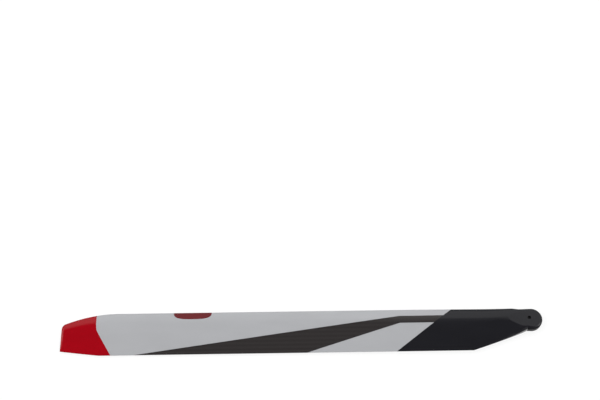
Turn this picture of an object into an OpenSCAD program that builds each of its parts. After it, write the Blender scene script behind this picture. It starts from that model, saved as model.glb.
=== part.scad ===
// Main rotor blade of a model helicopter, moulded in one piece.
// The bolt hole is on the Z axis, the blade runs out along +X to its tip,
// the leading edge is on the -Y side and the upper face looks along +Z.

/* [Blade] */
// Bolt hole axis to the tip
span = 690; // [500:1:800]
// Leading edge to trailing edge
chord = 64.4; // [56:0.1:74]
// Bolt hole axis to the leading edge
bolt_to_le = 17.3; // [16:0.1:20]
// Greatest thickness of the airfoil
airfoil_t = 7.2; // [5:0.1:9]
// Thickness of the rounded trailing edge
edge_t = 1; // [0.6:0.1:1.6]

/* [Root] */
// Thickness between the two clamping pads
root_t = 14; // [11:0.5:16]
// Width of the root end
root_w = 32; // [28:0.5:34]
// Bolt hole axis to the middle of the root end's width, towards the trailing edge
root_offset = 1.5; // [0:0.1:2.5]
// Bolt hole axis to the inboard end
root_end = 19.5; // [17:0.5:26]
// Diameter of the bolt hole
bolt_d = 5; // [3:0.1:8]
// Bolt hole axis to the outboard nose of the clamping pads
pad_l = 30.5; // [24:0.5:44]
// Bolt hole axis to the leading edge beside the clamping pads
root_to_le = 16.2; // [15:0.1:18]
// Bolt hole axis to where the cut back edge leaves the root end
cutback_start = 4; // [2:1:20]
// Bolt hole axis to the corner where the trailing edge starts
cutback_l = 85; // [70:1:110]
// Bolt hole axis to where the root fairing has run out into the airfoil
fairing_l = 168; // [140:1:220]
// Thickness that the cut back edge grows to beside the root end
cutback_edge_t = 10; // [3:0.5:11]
// Squareness of the root end's edge, as the power of a superellipse
root_square = 5.5; // [4.5:0.5:10]

/* [Tip] */
// Length of the swept leading edge
tip_l = 82; // [62:1:120]
// Distance that the leading edge sweeps back
tip_sweep = 17.2; // [8:0.1:24]
// Length over which the trailing edge draws in
tip_te_l = 58; // [40:1:100]
// Distance that the trailing edge draws in
tip_te_in = 7; // [2:0.5:14]
// Corner radius where the leading edge meets the tip
tip_corner_r = 5; // [2:0.5:8]
// Length over which the thickness rounds off at the tip
tip_round_l = 4; // [2:0.5:8]

/* [Hidden] */

// Places along and across the blade
tang_x = root_w / 2 - root_end;
te_y = chord - bolt_to_le;
crest_share = bolt_to_le / chord;
tip_x = span - tip_l;
root_le_y = root_offset - root_w / 2;
root_te_y = root_offset + root_w / 2;
le_flare_x = 12;
le_flare_l = 14;

// Form of the sections
airfoil_power = 1.7;
nose_power = 2;
edge_power = 90;
ease = 2.5;
cutback_power = 0.88;
tip_te_power = 1.1;
fairing_start_u = 0.12;
fairing_apex_u = 0.6;
fairing_foot_u = 0.95;
fairing_gap_u = 0.04;
shoulder_x = 55;

// Chordwise places from the crest, at 0, to an edge, at 1
places = [0, 0.08, 0.17, 0.26, 0.35, 0.45, 0.55, 0.65, 0.74, 0.82, 0.88, 0.93, 0.965, 0.985, 0.997, 1];
edge = len(places) - 1;

function mix(a, b, t) = a + (b - a) * t;
function clamp01(t) = min(1, max(0, t));
function smooth(t) = let (c = clamp01(t)) c * c * (3 - 2 * c);
function share(x, from, to) = clamp01((x - from) / (to - from));

// Planform: where the leading edge, the trailing edge and the crest lie across the blade
function corner(x) = let (d = max(0, x - (span - tip_corner_r)))
    tip_corner_r - sqrt(max(0, pow(tip_corner_r, 2) - pow(d, 2)));
function front_y(x) = -mix(root_to_le, bolt_to_le, share(x, pad_l, fairing_l));
function le_y(x) = mix(root_le_y, front_y(x), smooth(share(x, le_flare_x, le_flare_x + le_flare_l)))
    + tip_sweep * pow(share(x, tip_x, span), 2) + corner(x);
function te_end_y(x) = mix(root_te_y, te_y, pow(share(x, cutback_start, cutback_l), cutback_power))
    - tip_te_in * pow(share(x, span - tip_te_l, span), tip_te_power);
function crest_y(x) = x < tip_x
    ? root_offset * (1 - smooth(share(x, tang_x, pad_l)))
    : mix(le_y(x), te_end_y(x), crest_share);

// Half thicknesses at the crest: the airfoil's own, and what the root fairing adds
function airfoil_half(x) = let (width = (te_end_y(x) - le_y(x)) / chord)
    airfoil_t / 2 * (x < tip_x ? 1 : width) * mix(1, 0.5, pow(share(x, span - tip_round_l, span), 2));
function fade(x) = 1 - smooth(share(x, tang_x, fairing_l));
function lift(x) = (root_t - airfoil_t) / 2 * fade(x) / fade(pad_l);

// Powers of the section's front and back, square at the root end and fair in the airfoil
function square_part(x, l) = pow(1 - share(x, tang_x, tang_x + l), ease);
function front_power(x) = mix(nose_power, root_square, square_part(x, cutback_l));
function back_power(x) = mix(airfoil_power, root_square, square_part(x, 0.7 * cutback_l));
function back_root(x) = mix(1, root_square, square_part(x, pad_l));
function edge_half(x) = smooth(share(x, tang_x, pad_l / 2))
    * mix(edge_t, cutback_edge_t, square_part(x, cutback_l)) / 2;

// The fairing's flank falls from a shoulder to a foot, which close up as it runs out
function shoulder_u(x) =
    mix(fairing_start_u, fairing_apex_u - fairing_gap_u, share(x, shoulder_x, fairing_l));
function foot_u(x) = mix(fairing_foot_u, fairing_apex_u + fairing_gap_u, share(x, cutback_l, fairing_l));
function flank(x, u) = 1 - smooth((u - shoulder_u(x)) / (foot_u(x) - shoulder_u(x)));

// Half thickness at a share of the way from the crest to either edge
function front_half(x, v) = (airfoil_half(x) + lift(x))
    * pow(1 - pow(v, front_power(x)), 1 / front_power(x));
function back_form(x, u) = pow(1 - pow(u, back_power(x)), 1 / back_root(x));
function back_half(x, u) = (airfoil_half(x) - edge_half(x)) * back_form(x, u)
    + edge_half(x) * sqrt(1 - pow(u, edge_power))
    + lift(x) * mix(back_form(x, u), flank(x, u), smooth(share(x, pad_l, cutback_l)));

// Half thickness of the round inboard end, the same all round its middle
function round_half(x, y) = let (r = min(1, norm([x - tang_x, y - root_offset]) / (root_w / 2)))
    (airfoil_half(tang_x) + lift(tang_x)) * pow(1 - pow(r, root_square), 1 / root_square);
function round_y(x) = sqrt(max(0, pow(root_w / 2, 2) - pow(x - tang_x, 2)));

// The upper face of one section, from the leading edge to the trailing edge
function round_face(x) = [for (i = [-edge : edge])
    let (y = root_offset + round_y(x) * sign(i) * places[abs(i)])
    [y, abs(i) == edge ? 0 : round_half(x, y)]];
function blade_face(x) = concat(
    [for (i = [edge : -1 : 0]) [mix(crest_y(x), le_y(x), places[i]), front_half(x, places[i])]],
    [for (i = [1 : edge]) [mix(crest_y(x), te_end_y(x), places[i]), back_half(x, places[i])]]);

// One section as a closed ring, out over the upper face and back under the lower one
function ring(x) = let (top = x < tang_x ? round_face(x) : blade_face(x), last = len(top) - 1) concat(
    [for (p = top) [x, p[0], p[1]]],
    [for (i = [last - 1 : -1 : 1]) [x, top[i][0], -top[i][1]]]);

// Stations, close together where the form changes fast
function steps(from, to, n, power) = [for (i = [0 : n - 1]) mix(from, to, pow(i / n, power))];
stations = concat(
    [for (a = [2.5, 8, 14, 21, 29, 38, 48, 58, 68, 79]) tang_x - root_w / 2 * cos(a)],
    steps(tang_x, cutback_start, 6, 1),
    steps(cutback_start, cutback_l, 15, 1.4),
    steps(cutback_l, fairing_l, 11, 1),
    [fairing_l],
    steps(tip_x, span - tip_corner_r, 9, 1),
    [for (a = [0 : 15 : 90]) span - tip_corner_r * (1 - sin(a))]);

// A solid skinned over rings that all have the same number of points
module skin(rings) {
    n = len(rings[0]);
    last = len(rings) - 1;
    function at(i, j) = i * n + j % n;
    polyhedron(
        points = [for (r = rings) each r],
        faces = concat(
            [[for (j = [0 : n - 1]) at(0, j)]],
            [for (i = [0 : last - 1], j = [0 : n - 1], t = [0, 1])
                t == 0
                    ? [at(i, j), at(i + 1, j), at(i + 1, j + 1)]
                    : [at(i, j), at(i + 1, j + 1), at(i, j + 1)]],
            [[for (j = [n - 1 : -1 : 0]) at(last, j)]]));
}

// Everything above the upper clamping pad, to be cut away
module pad_cutter() {
    size = 2 * (fairing_l + root_end);
    translate([-size / 2, -size / 2, root_t / 2]) cube([size, size, root_t]);
}

module blade() {
    color("lightgray") difference() {
        skin([for (x = stations) ring(x)]);
        pad_cutter();
        mirror([0, 0, 1]) pad_cutter();
        cylinder(d = bolt_d, h = 2 * root_t, center = true, $fn = 64);
    }
}

blade();
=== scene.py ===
"""Looks of the rotor blade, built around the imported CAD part."""
import math

import bmesh
import bpy
from mathutils import Matrix, Vector


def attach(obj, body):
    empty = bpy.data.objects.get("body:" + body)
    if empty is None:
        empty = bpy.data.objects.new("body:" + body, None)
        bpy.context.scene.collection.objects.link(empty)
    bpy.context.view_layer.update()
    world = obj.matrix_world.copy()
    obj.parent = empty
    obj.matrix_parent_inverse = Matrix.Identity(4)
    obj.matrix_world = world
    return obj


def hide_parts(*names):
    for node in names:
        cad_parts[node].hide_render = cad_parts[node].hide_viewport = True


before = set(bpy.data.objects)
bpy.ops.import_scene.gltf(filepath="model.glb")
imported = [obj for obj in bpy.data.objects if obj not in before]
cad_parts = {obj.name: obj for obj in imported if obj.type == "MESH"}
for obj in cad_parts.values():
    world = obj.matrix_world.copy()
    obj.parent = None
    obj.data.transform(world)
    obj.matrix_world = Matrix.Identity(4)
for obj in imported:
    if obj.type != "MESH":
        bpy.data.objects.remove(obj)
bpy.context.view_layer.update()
scene = bpy.context.scene
MM = 0.001

# Sizes of the blade in millimetres, the same as in the part's source
SPAN = 690.0
CHORD = 64.4
BOLT_TO_LE = 17.3
AIRFOIL_T = 7.2
EDGE_T = 1.0

# Sizes of the root
ROOT_T = 14.0
ROOT_W = 32.0
ROOT_OFFSET = 1.5
ROOT_END = 19.5
BOLT_D = 5.0
PAD_L = 30.5
ROOT_TO_LE = 16.2
CUTBACK_START = 4.0
CUTBACK_L = 85.0
FAIRING_L = 168.0
CUTBACK_EDGE_T = 10.0
ROOT_SQUARE = 5.5

# Sizes of the tip
TIP_L = 82.0
TIP_SWEEP = 17.2
TIP_TE_L = 58.0
TIP_TE_IN = 7.0
TIP_CORNER_R = 5.0
TIP_ROUND_L = 4.0

# Places along and across the blade
TANG_X = ROOT_W / 2 - ROOT_END
TIP_X = SPAN - TIP_L
LE_Y = -BOLT_TO_LE
TE_Y = CHORD - BOLT_TO_LE
ROOT_LE_Y = ROOT_OFFSET - ROOT_W / 2
ROOT_TE_Y = ROOT_OFFSET + ROOT_W / 2
LE_FLARE_X = 12.0
LE_FLARE_L = 14.0

# Form of the sections
AIRFOIL_POWER = 1.7
NOSE_POWER = 2.0
EDGE_POWER = 90.0
EASE = 2.5
CUTBACK_POWER = 0.88
TIP_TE_POWER = 1.1
FAIRING_START_U = 0.12
FAIRING_APEX_U = 0.6
FAIRING_FOOT_U = 0.95
FAIRING_GAP_U = 0.04
SHOULDER_X = 55.0

# Paint lines on the plan, in millimetres
ROOT_LINE = ((112.4, LE_Y), (197.6, TE_Y))
STRIPE_KINK_X = 191.2
STRIPE_FRONT_Y = -6.75
STRIPE_FRONT_END_X = 582.5
STRIPE_BACK_Y = 4.25
STRIPE_BACK_END_X = 328.5
RED_X = 639.6
RED_SLOPE = 0.60
RED_BEND_Y = 7.5
RED_BEND_L = 4.3
RED_MARK_X = 497.3
DARK_MARK_X = 326.3
MARK_HALF_L = 28.0
MARK_DEPTH = 11.1
MARK_POWER = 3.2


# Form of the blade, as in the part's source
def mix(a, b, t):
    return a + (b - a) * t


def smooth(t):
    t = min(1.0, max(0.0, t))
    return t * t * (3 - 2 * t)


def share(x, start, end):
    return min(1.0, max(0.0, (x - start) / (end - start)))


def le_y(x):
    past = min(TIP_CORNER_R, max(0.0, x - (SPAN - TIP_CORNER_R)))
    corner = TIP_CORNER_R - math.sqrt(TIP_CORNER_R ** 2 - past ** 2)
    front = -mix(ROOT_TO_LE, BOLT_TO_LE, share(x, PAD_L, FAIRING_L))
    flare = smooth(share(x, LE_FLARE_X, LE_FLARE_X + LE_FLARE_L))
    return mix(ROOT_LE_Y, front, flare) + TIP_SWEEP * share(x, TIP_X, SPAN) ** 2 + corner


def te_y(x):
    drawn_in = TIP_TE_IN * share(x, SPAN - TIP_TE_L, SPAN) ** TIP_TE_POWER
    return mix(ROOT_TE_Y, TE_Y, share(x, CUTBACK_START, CUTBACK_L) ** CUTBACK_POWER) - drawn_in


def crest_y(x):
    if x < TIP_X:
        return ROOT_OFFSET * (1 - smooth(share(x, TANG_X, PAD_L)))
    return mix(le_y(x), te_y(x), BOLT_TO_LE / CHORD)


def airfoil_half(x):
    width = 1.0 if x < TIP_X else (te_y(x) - le_y(x)) / CHORD
    return AIRFOIL_T / 2 * width * mix(1.0, 0.5, share(x, SPAN - TIP_ROUND_L, SPAN) ** 2)


def fade(x):
    return 1 - smooth(share(x, TANG_X, FAIRING_L))


def lift(x):
    return (ROOT_T - AIRFOIL_T) / 2 * fade(x) / fade(PAD_L)


def square_part(x, length):
    return (1 - share(x, TANG_X, TANG_X + length)) ** EASE


def edge_half(x):
    thickness = mix(EDGE_T, CUTBACK_EDGE_T, square_part(x, CUTBACK_L))
    return smooth(share(x, TANG_X, PAD_L / 2)) * thickness / 2


def flank(x, u):
    shoulder = mix(FAIRING_START_U, FAIRING_APEX_U - FAIRING_GAP_U, share(x, SHOULDER_X, FAIRING_L))
    foot = mix(FAIRING_FOOT_U, FAIRING_APEX_U + FAIRING_GAP_U, share(x, CUTBACK_L, FAIRING_L))
    return 1 - smooth((u - shoulder) / (foot - shoulder))


def front_half(x, v):
    power = mix(NOSE_POWER, ROOT_SQUARE, square_part(x, CUTBACK_L))
    return (airfoil_half(x) + lift(x)) * (1 - v ** power) ** (1 / power)


def back_half(x, u):
    power = mix(AIRFOIL_POWER, ROOT_SQUARE, square_part(x, 0.7 * CUTBACK_L))
    root = mix(1.0, ROOT_SQUARE, square_part(x, PAD_L))
    form = (1 - u ** power) ** (1 / root)
    swell = mix(form, flank(x, u), smooth(share(x, PAD_L, CUTBACK_L)))
    edge = edge_half(x)
    airfoil = (airfoil_half(x) - edge) * form + edge * math.sqrt(1 - u ** EDGE_POWER)
    return airfoil + lift(x) * swell


def half(x, y):
    """Half thickness of the blade at a point of its plan, before the pads are cut flat."""
    if x < TANG_X:
        r = min(1.0, math.hypot(x - TANG_X, y - ROOT_OFFSET) / (ROOT_W / 2))
        return (airfoil_half(TANG_X) + lift(TANG_X)) * (1 - r ** ROOT_SQUARE) ** (1 / ROOT_SQUARE)
    middle = crest_y(x)
    if y < middle:
        return front_half(x, min(1.0, (middle - y) / (middle - le_y(x))))
    return back_half(x, min(1.0, (y - middle) / (te_y(x) - middle)))


# Stations along the blade, and places across it from the crest, at 0, to an edge, at 1
def steps(start, end, n, power=1.0):
    return [mix(start, end, (i / n) ** power) for i in range(n)]


ROUND_END_ANGLES = [2.5, 5, 8, 11, 14, 17, 20, *range(24, 90, 4)]
TIP_CORNER_ANGLES = range(0, 91, 6)
NEAR_MARK_X = 460.0
PAST_MARK_X = 534.0
PLACES = [0.0] + [1 - (1 - k / 26) ** 2.1 for k in range(1, 26)] + [0.9996, 0.99995, 1.0]
STATIONS = (
    [TANG_X - ROOT_W / 2 * math.cos(math.radians(a)) for a in ROUND_END_ANGLES]
    + steps(TANG_X, CUTBACK_START, 18)
    + steps(CUTBACK_START, CUTBACK_L, 66, 1.15)
    + steps(CUTBACK_L, FAIRING_L, 34)
    + steps(FAIRING_L, STRIPE_KINK_X, 4)
    + steps(STRIPE_KINK_X, NEAR_MARK_X, 34)
    + steps(NEAR_MARK_X, PAST_MARK_X, 40)
    + steps(PAST_MARK_X, TIP_X, 14)
    + steps(TIP_X, SPAN - TIP_CORNER_R, 46)
    + [SPAN - TIP_CORNER_R * (1 - math.sin(math.radians(a))) for a in TIP_CORNER_ANGLES]
)


def upper_face(x):
    """Points across the upper face from the leading edge to the trailing edge."""
    if x < TANG_X:
        reach = math.sqrt((ROOT_W / 2) ** 2 - (x - TANG_X) ** 2)
        front = [ROOT_OFFSET - reach * p for p in PLACES[:0:-1]]
        back = [ROOT_OFFSET + reach * p for p in PLACES]
    else:
        front = [mix(crest_y(x), le_y(x), p) for p in PLACES[:0:-1]]
        back = [mix(crest_y(x), te_y(x), p) for p in PLACES]
    ys = front + back
    last = len(ys) - 1
    return [(y, 0.0 if i in (0, last) else half(x, y)) for i, y in enumerate(ys)]


# Fields on the plan: each is below 0 on one side of its line and above 0 on the other
def beyond_root(x, y):
    (ax, ay), (bx, by) = ROOT_LINE
    return ((x - ax) * (by - ay) - (y - ay) * (bx - ax)) / math.hypot(bx - ax, by - ay)


def past_stripe_front(x, y):
    along = max(0.0, x - STRIPE_KINK_X) / (STRIPE_FRONT_END_X - STRIPE_KINK_X)
    return y - mix(STRIPE_FRONT_Y, TE_Y, along)


def past_stripe_back(x, y):
    along = max(0.0, x - STRIPE_KINK_X) / (STRIPE_BACK_END_X - STRIPE_KINK_X)
    return y - mix(STRIPE_BACK_Y, TE_Y, along)


def beyond_red(x, y):
    aft = y - RED_BEND_Y
    return x - (RED_X - RED_SLOPE * (aft + math.hypot(aft, RED_BEND_L)) / 2)


def mark_at(middle):
    """The field of a mark at the leading edge: below 0 inside its rounded outline."""
    def outside(x, y):
        along = (abs(x - middle) / MARK_HALF_L) ** MARK_POWER
        across = (abs(y - LE_Y) / MARK_DEPTH) ** MARK_POWER
        return along + across - 1
    return outside


red_mark = mark_at(RED_MARK_X)
dark_mark = mark_at(DARK_MARK_X)


def off_pad(x, y):
    return half(x, y) - ROOT_T / 2


def off_bore(x, y):
    return math.hypot(x, y) - BOLT_D / 2


# The skin, in millimetres until it is done
bm = bmesh.new()
rings = []
for x in STATIONS:
    top = upper_face(x)
    over = [bm.verts.new((x, y, z)) for y, z in top]
    under = [over[0]] + [bm.verts.new((x, y, -z)) for y, z in top[1:-1]] + [over[-1]]
    rings.append((over, under))
for (over, under), (over_out, under_out) in zip(rings, rings[1:]):
    for j in range(len(over) - 1):
        bm.faces.new((over[j], over_out[j], over_out[j + 1], over[j + 1]))
        bm.faces.new((under[j], under[j + 1], under_out[j + 1], under_out[j]))
for (over, under), order in ((rings[0], 1), (rings[-1], -1)):
    for j in range(len(over) - 1):
        around = [over[j], over[j + 1], under[j + 1], under[j]]
        bm.faces.new(list(dict.fromkeys(around))[::order])


def split_along(field, side=0):
    """Cuts the faces along the line where a field is 0, on the whole blade or on one side of it."""
    def counts(v):
        return side == 0 or v.co.z * side >= 0

    value = {v: field(v.co.x, v.co.y) for v in bm.verts}
    line = {v for v, f in value.items() if abs(f) < 1e-6 and counts(v)}
    for e in list(bm.edges):
        a, b = e.verts
        if a in line or b in line or not (counts(a) and counts(b)) or value[a] * value[b] > 0:
            continue
        low, high = 0.0, 1.0
        for _ in range(36):
            t = (low + high) / 2
            at = field(mix(a.co.x, b.co.x, t), mix(a.co.y, b.co.y, t))
            low, high = (t, high) if at * value[a] > 0 else (low, t)
        z = mix(a.co.z, b.co.z, t)
        new = bmesh.utils.edge_split(e, a, t)[1]
        if abs(a.co.z) > 1e-9 or abs(b.co.z) > 1e-9:
            new.co.z = math.copysign(half(new.co.x, new.co.y), z)
        line.add(new)
    for f in list(bm.faces):
        if not all(counts(v) for v in f.verts):
            continue
        ends = [v for v in f.verts if v in line]
        if len(ends) == 2 and not any(e.other_vert(ends[0]) == ends[1] for e in ends[0].link_edges):
            bmesh.utils.face_split(f, ends[0], ends[1])


for field in (off_pad, off_bore, beyond_root, past_stripe_front, past_stripe_back, beyond_red, red_mark):
    split_along(field)
split_along(dark_mark, side=-1)

# Material slots. A face is on the root's edge, or on the cut back edge's wall,
# where its normal leans out so far that its Z is below the value given here
GREY, RED, MARK, WEAVE, BLACK, TANG, CUT, BORE = range(8)
TANG_NORMAL_Z = 0.62
CUT_NORMAL_Z = 0.8
CUT_GLOSS_L = 60.0


def paint(f):
    """The material slot of a face."""
    middle = f.calc_center_median()
    x, y = middle.x, middle.y
    if x < CUTBACK_START and abs(f.normal.z) < TANG_NORMAL_Z:
        return TANG
    if CUTBACK_START < x < CUT_GLOSS_L and y > ROOT_OFFSET and abs(f.normal.z) < CUT_NORMAL_Z:
        return CUT
    if beyond_root(x, y) < 0:
        return BLACK
    if beyond_red(x, y) > 0:
        return RED
    if red_mark(x, y) < 0:
        return MARK
    if past_stripe_front(x, y) > 0 > past_stripe_back(x, y) or (middle.z < 0 and dark_mark(x, y) < 0):
        return WEAVE
    return GREY


for v in bm.verts:
    v.co.z = max(-ROOT_T / 2, min(ROOT_T / 2, v.co.z))
hole = [f for f in bm.faces if math.hypot(*f.calc_center_median().xy) < BOLT_D / 2]
bmesh.ops.delete(bm, geom=hole, context="FACES")
bmesh.ops.recalc_face_normals(bm, faces=bm.faces)
for f in bm.faces:
    f.material_index = paint(f)
    f.smooth = True

# The bore's wall joins the two rims, which lie over each other and stay crisp
rim = [e for e in bm.edges if e.is_boundary]
for f in bmesh.ops.bridge_loops(bm, edges=rim)["faces"]:
    f.material_index = BORE
    f.smooth = True
    for e in f.edges:
        if len({round(v.co.z, 3) for v in e.verts}) == 1:
            e.smooth = False

# The pads keep a crisp border, and so do sharp edges
CRISP_ANGLE = math.radians(38)
pad = {f for f in bm.faces if all(abs(abs(v.co.z) - ROOT_T / 2) < 1e-6 for v in f.verts)}
for e in bm.edges:
    if len(e.link_faces) == 2 and (e.link_faces[0] in pad) != (e.link_faces[1] in pad):
        e.smooth = False
    elif len(e.link_faces) == 2 and e.calc_face_angle(0) > CRISP_ANGLE:
        e.smooth = False
bmesh.ops.recalc_face_normals(bm, faces=bm.faces)
bmesh.ops.scale(bm, vec=(MM, MM, MM), verts=bm.verts)
mesh = bpy.data.meshes.new("blade_skin")
bm.to_mesh(mesh)
bm.free()
skin = bpy.data.objects.new("blade_skin", mesh)
scene.collection.objects.link(skin)


# Materials
class Nodes:
    """A material's node tree, with short ways to add and join nodes."""

    def __init__(self, name):
        self.material = bpy.data.materials.new(name)
        self.material.use_nodes = True
        self.tree = self.material.node_tree
        self.shader = self.tree.nodes["Principled BSDF"]

    def add(self, kind, **settings):
        node = self.tree.nodes.new(kind)
        for key, value in settings.items():
            setattr(node, key, value)
        return node

    def join(self, source, target):
        self.tree.links.new(source, target)

    def math(self, operation, a, b=0.0):
        node = self.add("ShaderNodeMath", operation=operation)
        for socket, value in zip(node.inputs, (a, b)):
            if isinstance(value, (int, float)):
                socket.default_value = value
            else:
                self.join(value, socket)
        return node.outputs[0]

    def place(self):
        return self.add("ShaderNodeTexCoord").outputs["Object"]

    def noise(self, scale, detail=2.0, stretch=None):
        source = self.place()
        if stretch:
            mapping = self.add("ShaderNodeMapping")
            mapping.inputs["Scale"].default_value = stretch
            self.join(source, mapping.inputs["Vector"])
            source = mapping.outputs[0]
        node = self.add("ShaderNodeTexNoise")
        node.inputs["Scale"].default_value = scale
        node.inputs["Detail"].default_value = detail
        self.join(source, node.inputs["Vector"])
        return node.outputs["Fac"]

    def ramp(self, factor, low, high, start=0.3, end=0.7):
        node = self.add("ShaderNodeValToRGB")
        for stop, at, colour in zip(node.color_ramp.elements, (start, end), (low, high)):
            stop.position = at
            stop.color = (*colour, 1)
        self.join(factor, node.inputs["Fac"])
        return node.outputs["Color"]

    def spread(self, factor, low, high):
        node = self.add("ShaderNodeMapRange")
        node.inputs["To Min"].default_value = low
        node.inputs["To Max"].default_value = high
        self.join(factor, node.inputs["Value"])
        return node.outputs["Result"]

    def bump(self, height, distance, strength=1.0, after=None):
        node = self.add("ShaderNodeBump")
        node.inputs["Distance"].default_value = distance
        node.inputs["Strength"].default_value = strength
        self.join(height, node.inputs["Height"])
        if after is not None:
            self.join(after, node.inputs["Normal"])
        return node.outputs["Normal"]


def linear(r, g, b):
    """A colour as written in a paint chart, 0 to 255, as the linear values that a shader takes."""
    def one(c):
        c /= 255
        return c / 12.92 if c <= 0.04045 else ((c + 0.055) / 1.055) ** 2.4
    return one(r), one(g), one(b)


# The clear coat, and the glossier one on the cut back edge's wall
COAT_IOR = 1.5
COAT_WEIGHT = 0.5
CUT_COAT_IOR = 2.2
CUT_COAT_WEIGHT = 1.0
TOW_W = 0.0022


def clear_coat(n, roughness, ior=COAT_IOR, weight=COAT_WEIGHT):
    """The clear coat that covers the blade, with its faint orange peel."""
    sockets = n.shader.inputs
    sockets["Coat Weight"].default_value = weight
    sockets["Coat Roughness"].default_value = roughness
    sockets["Coat IOR"].default_value = ior
    sockets["Specular IOR Level"].default_value = 0.02
    peel = n.bump(n.noise(scale=260, detail=1.5), distance=0.00002, strength=0.35)
    fine_peel = n.bump(n.noise(scale=1900, detail=1.0), distance=0.000004, strength=0.3, after=peel)
    n.join(fine_peel, sockets["Coat Normal"])


def paint_material(name, colour, shade, coat_ior=COAT_IOR, coat_weight=COAT_WEIGHT):
    """A sprayed colour under the clear coat: it clouds a little over the blade and has a fine grain."""
    n = Nodes(name)
    cloud = n.noise(scale=14, detail=3.0, stretch=(1, 3, 3))
    grain = n.noise(scale=2400, detail=1.0)
    tone = n.math("ADD", n.math("MULTIPLY", cloud, 0.75), n.math("MULTIPLY", grain, 0.25))
    dark = tuple(c * (1 - shade) for c in colour)
    light = tuple(min(1.0, c * (1 + shade)) for c in colour)
    n.join(n.ramp(tone, dark, light), n.shader.inputs["Base Color"])
    n.join(n.spread(n.noise(scale=90), low=0.38, high=0.52), n.shader.inputs["Roughness"])
    clear_coat(n, 0.04, coat_ior, coat_weight)
    return n.material


def weave_material(name):
    """Woven fibre cloth under the clear coat: a twill of flat tows, laid at 45 degrees."""
    n = Nodes(name)
    split = n.add("ShaderNodeSeparateXYZ")
    n.join(n.place(), split.inputs[0])
    x, y = split.outputs["X"], split.outputs["Y"]
    tow = TOW_W * math.sqrt(2)
    along = n.math("DIVIDE", n.math("ADD", x, y), tow)
    across = n.math("DIVIDE", n.math("SUBTRACT", x, y), tow)
    step = n.math("SUBTRACT", n.math("FLOOR", along), n.math("FLOOR", across))
    over = n.math("LESS_THAN", n.math("FLOORED_MODULO", step, 4.0), 1.5)

    def crown(position):
        return n.math("SINE", n.math("MULTIPLY", n.math("FRACT", position), math.pi))

    upper_tow = n.math("MULTIPLY", over, crown(across))
    lower_tow = n.math("MULTIPLY", n.math("SUBTRACT", 1.0, over), crown(along))
    height = n.math("ADD", upper_tow, lower_tow)
    fibre = n.noise(scale=900)
    relief = n.math("ADD", n.math("MULTIPLY", height, 0.25), n.math("MULTIPLY", fibre, 0.35))
    tone = n.math("ADD", n.math("MULTIPLY", over, 0.30), relief)
    cloth = n.ramp(tone, linear(48, 45, 45), linear(58, 55, 55), start=0.1, end=1.0)
    n.join(cloth, n.shader.inputs["Base Color"])
    n.join(n.spread(height, low=0.55, high=0.36), n.shader.inputs["Roughness"])
    n.join(n.bump(height, distance=0.00005, strength=0.6), n.shader.inputs["Normal"])
    clear_coat(n, 0.05)
    return n.material


def bore_material(name):
    """The drilled wall of the bolt hole: dark bare laminate with fine turning marks, made near black as
    painted shade inside the hole.
    """
    n = Nodes(name)
    rings_of_cut = n.noise(scale=700, stretch=(0.3, 0.3, 6))
    # Painted shade: partly the laminate's own dark colour, and darkened further to stand for the shade
    # inside the hole
    n.join(n.ramp(rings_of_cut, linear(6, 6, 7), linear(15, 14, 14)), n.shader.inputs["Base Color"])
    n.join(n.spread(rings_of_cut, low=0.5, high=0.75), n.shader.inputs["Roughness"])
    n.shader.inputs["Specular IOR Level"].default_value = 0.05
    n.join(n.bump(rings_of_cut, distance=0.00003, strength=0.5), n.shader.inputs["Normal"])
    return n.material


def shaded_edge_material(name):
    """The root's trimmed edge, rubbed down to a satin, with its black painted darker than the root's black
    as painted shade.
    """
    n = Nodes(name)
    rub = n.noise(scale=420, detail=3.0, stretch=(0.4, 1, 1))
    # Painted shade: this black is darker than the root's black (31, 31, 35), standing for the shade on the
    # tang's wall
    n.join(n.ramp(rub, linear(20, 20, 23), linear(30, 30, 33)), n.shader.inputs["Base Color"])
    n.join(n.spread(rub, low=0.32, high=0.46), n.shader.inputs["Roughness"])
    n.shader.inputs["Specular IOR Level"].default_value = 0.08
    n.join(n.bump(rub, distance=0.00001, strength=0.4), n.shader.inputs["Normal"])
    return n.material


# In the order of the material slots
ROOT_BLACK = linear(31, 31, 35)
for material in (
    paint_material("grey_paint", linear(179, 180, 183), shade=0.03),
    paint_material("red_paint", linear(163, 4, 20), shade=0.05),
    paint_material("mark_red", linear(104, 17, 24), shade=0.10),
    weave_material("fibre_weave"),
    paint_material("black_root", ROOT_BLACK, shade=0.08),
    shaded_edge_material("root_edge_shaded"),
    paint_material("cut_edge", ROOT_BLACK, shade=0.08, coat_ior=CUT_COAT_IOR, coat_weight=CUT_COAT_WEIGHT),
    bore_material("bore_wall_shaded"),
):
    mesh.materials.append(material)

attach(skin, "root")
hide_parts("blade")


def floor_material(name):
    """A floor that looks white and keeps a faint shadow."""
    n = Nodes(name)
    n.tree.nodes.remove(n.shader)

    def paper(level):
        node = n.add("ShaderNodeBsdfDiffuse")
        node.inputs["Color"].default_value = (level, level, level, 1)
        return node.outputs[0]

    rays = n.add("ShaderNodeLightPath").outputs
    seen = n.math("MAXIMUM", rays["Is Camera Ray"], rays["Is Glossy Ray"])
    seen = n.math("MAXIMUM", seen, rays["Is Transmission Ray"])
    glow = n.add("ShaderNodeEmission")
    glow.inputs["Strength"].default_value = 0.84
    white = n.add("ShaderNodeAddShader")
    n.join(paper(0.2), white.inputs[0])
    n.join(glow.outputs[0], white.inputs[1])
    choose = n.add("ShaderNodeMixShader")
    n.join(seen, choose.inputs["Fac"])
    n.join(paper(0.8), choose.inputs[1])
    n.join(white.outputs[0], choose.inputs[2])
    n.join(choose.outputs[0], n.tree.nodes["Material Output"].inputs["Surface"])
    return n.material


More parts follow.
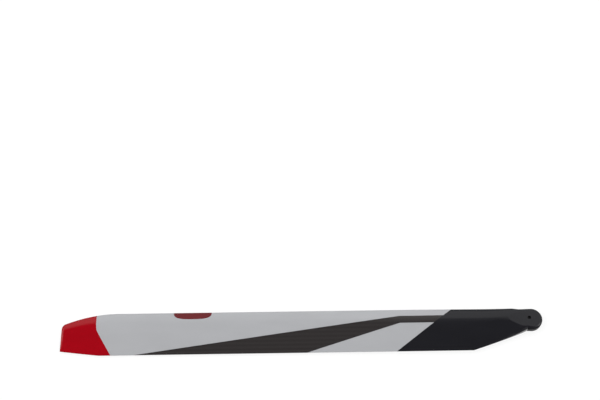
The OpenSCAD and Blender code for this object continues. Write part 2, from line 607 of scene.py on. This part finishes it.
# The floor touches the lower pad's nose and the blade's far end, so it leans a little
FLOOR_REACH = 40.0
touch_root = Vector((PAD_L, 0, -ROOT_T / 2)) * MM
touch_tip = Vector((TIP_X, 0, -AIRFOIL_T / 2)) * MM
lean = math.atan2(touch_tip.z - touch_root.z, touch_tip.x - touch_root.x)
corners = [(FLOOR_REACH * a, FLOOR_REACH * b, 0) for a, b in ((-1, -1), (1, -1), (1, 1), (-1, 1))]
floor_mesh = bpy.data.meshes.new("floor")
floor_mesh.from_pydata(corners, [], [(0, 1, 2, 3)])
floor_mesh.materials.append(floor_material("floor_white"))
floor = bpy.data.objects.new("floor", floor_mesh)
scene.collection.objects.link(floor)
floor.matrix_world = Matrix.Translation((touch_root + touch_tip) / 2) @ Matrix.Rotation(-lean, 4, "Y")

# A soft studio all round: pale walls under a dark ceiling, darker behind the camera and near the
# floor, with a fill beyond the tip and one soft box above the root
world = bpy.data.worlds.new("studio")
scene.world = world
world.use_nodes = True
room = world.node_tree
background = room.nodes["Background"]
direction = room.nodes.new("ShaderNodeTexCoord").outputs["Generated"]
CEILING = (0.194, 0.09, 0.91)
BEHIND_CAMERA = (0.25, 0.94, 0.22)
UP = (0, 0, 1)
BEYOND_TIP = (0.86, 0.15, 0.50)
ABOVE_ROOT = (-0.75, 0.15, 0.65)


def lobe(towards, outer, inner, low, high):
    """A value that changes smoothly from low to high within a cone about a direction, in degrees."""
    dot = room.nodes.new("ShaderNodeVectorMath")
    dot.operation = "DOT_PRODUCT"
    dot.inputs[1].default_value = Vector(towards).normalized()
    room.links.new(direction, dot.inputs[0])
    spread = room.nodes.new("ShaderNodeMapRange")
    spread.interpolation_type = "SMOOTHSTEP"
    spread.inputs["From Min"].default_value = math.cos(math.radians(outer))
    spread.inputs["From Max"].default_value = math.cos(math.radians(inner))
    spread.inputs["To Min"].default_value = low
    spread.inputs["To Max"].default_value = high
    room.links.new(dot.outputs["Value"], spread.inputs["Value"])
    return spread.outputs["Result"]


def combine(operation, a, b):
    node = room.nodes.new("ShaderNodeMath")
    node.operation = operation
    room.links.new(a, node.inputs[0])
    room.links.new(b, node.inputs[1])
    return node.outputs[0]


walls_of_room = lobe(CEILING, outer=36.5, inner=28, low=1.20, high=0.04)
shade_behind = lobe(BEHIND_CAMERA, outer=72, inner=45, low=1.0, high=0.12)
shade_near_floor = lobe(UP, outer=78, inner=52, low=0.2, high=1.0)
tip_fill = lobe(BEYOND_TIP, outer=45, inner=20, low=0.0, high=2.5)
soft_box = lobe(ABOVE_ROOT, outer=13, inner=8, low=0.0, high=5.0)
light = combine("ADD", combine("MULTIPLY", walls_of_room, shade_behind), tip_fill)
light = combine("ADD", combine("MULTIPLY", light, shade_near_floor), soft_box)
background.inputs["Color"].default_value = (1, 1, 1, 1)
room.links.new(light, background.inputs["Strength"])

# The photograph's camera
AIM = Vector((335.455, -203.177, 0)) * MM
ELEVATION = math.radians(63.0)
HEADING = math.radians(89.1184)
DISTANCE = 1653.34 * MM
LENS = 63.31
SENSOR_W = 36.0
scene.view_settings.view_transform = "Standard"
camera_data = bpy.data.cameras.new("camera")
camera_data.sensor_width = SENSOR_W
camera_data.lens = LENS
camera = bpy.data.objects.new("camera", camera_data)
scene.collection.objects.link(camera)
level = math.cos(ELEVATION)
away = Vector((level * math.cos(HEADING), level * math.sin(HEADING), math.sin(ELEVATION)))
camera.location = AIM + away * DISTANCE
camera.rotation_euler = away.to_track_quat("Z", "Y").to_euler()
scene.camera = camera
